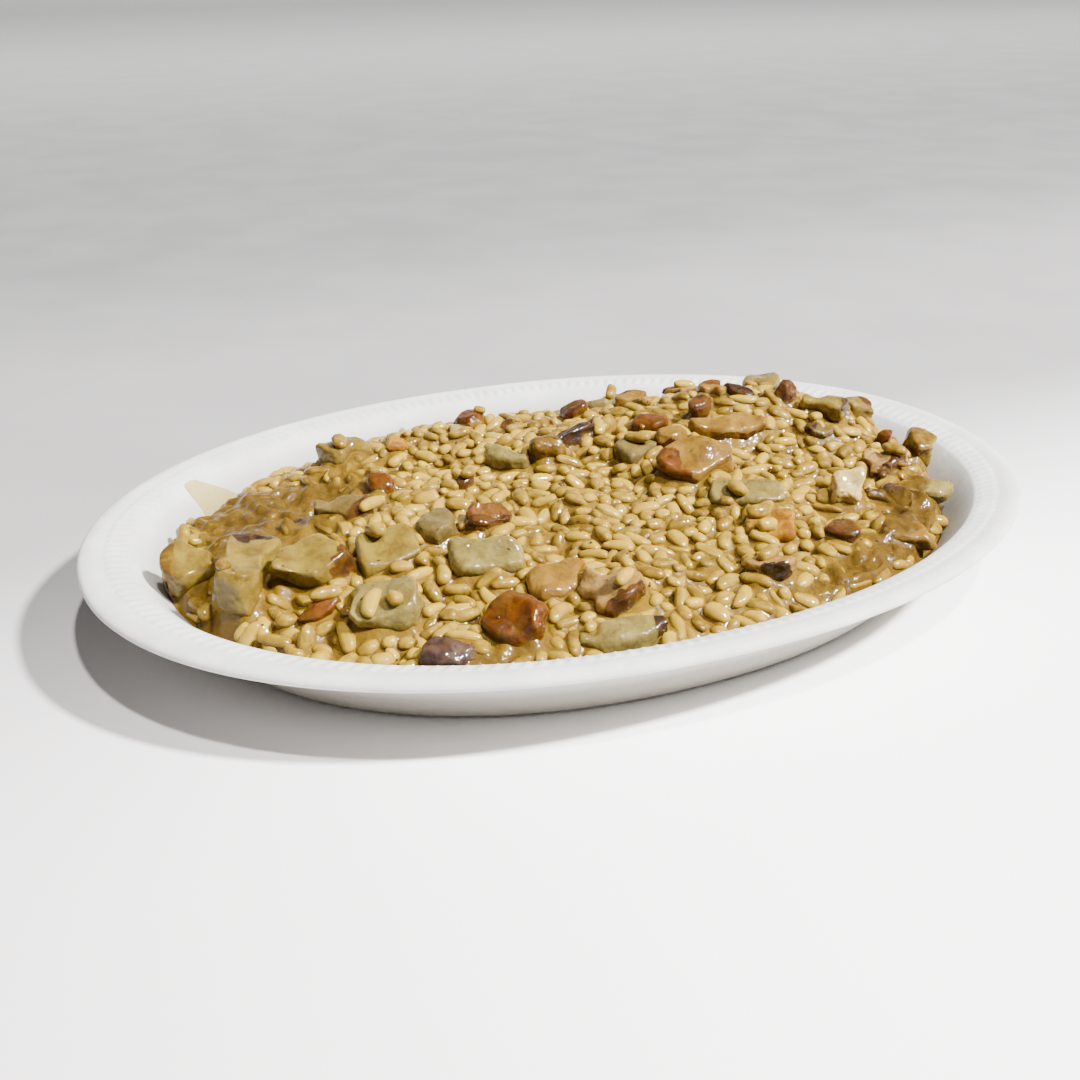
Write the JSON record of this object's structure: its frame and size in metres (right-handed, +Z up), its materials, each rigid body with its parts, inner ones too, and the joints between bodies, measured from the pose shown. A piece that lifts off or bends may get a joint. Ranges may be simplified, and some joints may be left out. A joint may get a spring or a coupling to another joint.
{
  "type": "mushroom risotto on a plate",
  "caption": "Mushroom risotto, a creamy heap of rice with chopped mushrooms, served on an oval white foam platter with a rolled rim.",
  "frame": {"origin": "under the middle of the platter, on the surface that it stands on", "axes": "+Z up, X along the platter's long side with the crown of the heap towards +X, Y across it"},
  "size_m": [0.26, 0.1872, 0.0406],
  "materials": {
    "platter": "white expanded foam, soft sheen",
    "rice": "cooked rice in a glossy cream sauce",
    "mushroom_flesh": "wet translucent mushroom flesh",
    "mushroom_skin": "wet orange-brown mushroom cap skin"
  },
  "bodies": {
    "root": {"mushroom_block_01": "mushroom_flesh", "mushroom_block_02": "mushroom_flesh", "mushroom_block_03": "mushroom_flesh", "mushroom_block_04": "mushroom_flesh", "mushroom_block_05": "mushroom_flesh", "mushroom_block_06": "mushroom_flesh", "mushroom_block_07": "mushroom_flesh", "mushroom_block_08": "mushroom_flesh", "mushroom_block_09": "mushroom_flesh", "mushroom_block_10": "mushroom_flesh", "mushroom_block_11": "mushroom_flesh", "mushroom_block_12": "mushroom_flesh", "mushroom_cap_01": "mushroom_skin", "mushroom_cap_02": "mushroom_skin", "mushroom_cap_03": "mushroom_skin", "mushroom_cap_04": "mushroom_skin", "mushroom_cap_05": "mushroom_skin", "mushroom_slice_01": "mushroom_flesh", "mushroom_slice_02": "mushroom_flesh", "mushroom_slice_03": "mushroom_flesh", "mushroom_slice_04": "mushroom_flesh", "mushroom_slice_05": "mushroom_flesh", "mushroom_slice_06": "mushroom_flesh", "mushroom_slice_07": "mushroom_flesh", "mushroom_slice_08": "mushroom_flesh", "mushroom_slice_09": "mushroom_flesh", "mushroom_slice_10": "mushroom_flesh", "mushroom_strip_01": "mushroom_flesh", "mushroom_strip_02": "mushroom_flesh", "mushroom_strip_03": "mushroom_flesh", "mushroom_strip_04": "mushroom_flesh", "mushroom_strip_05": "mushroom_flesh", "mushroom_strip_06": "mushroom_flesh", "mushroom_strip_07": "mushroom_flesh", "mushroom_strip_08": "mushroom_flesh", "mushroom_strip_09": "mushroom_flesh", "mushroom_strip_10": "mushroom_flesh", "mushroom_strip_11": "mushroom_flesh", "mushroom_strip_12": "mushroom_flesh", "mushroom_strip_13": "mushroom_flesh", "mushroom_strip_14": "mushroom_flesh", "mushroom_wedge_01": "mushroom_flesh", "mushroom_wedge_02": "mushroom_flesh", "mushroom_wedge_03": "mushroom_flesh", "mushroom_wedge_04": "mushroom_flesh", "mushroom_wedge_05": "mushroom_flesh", "mushroom_wedge_06": "mushroom_flesh", "mushroom_wedge_07": "mushroom_flesh", "mushroom_wedge_08": "mushroom_flesh", "mushroom_wedge_09": "mushroom_flesh", "mushroom_wedge_10": "mushroom_flesh", "mushroom_wedge_11": "mushroom_flesh", "platter": "platter", "risotto_rice": "rice"}
  },
  "joints": []
}
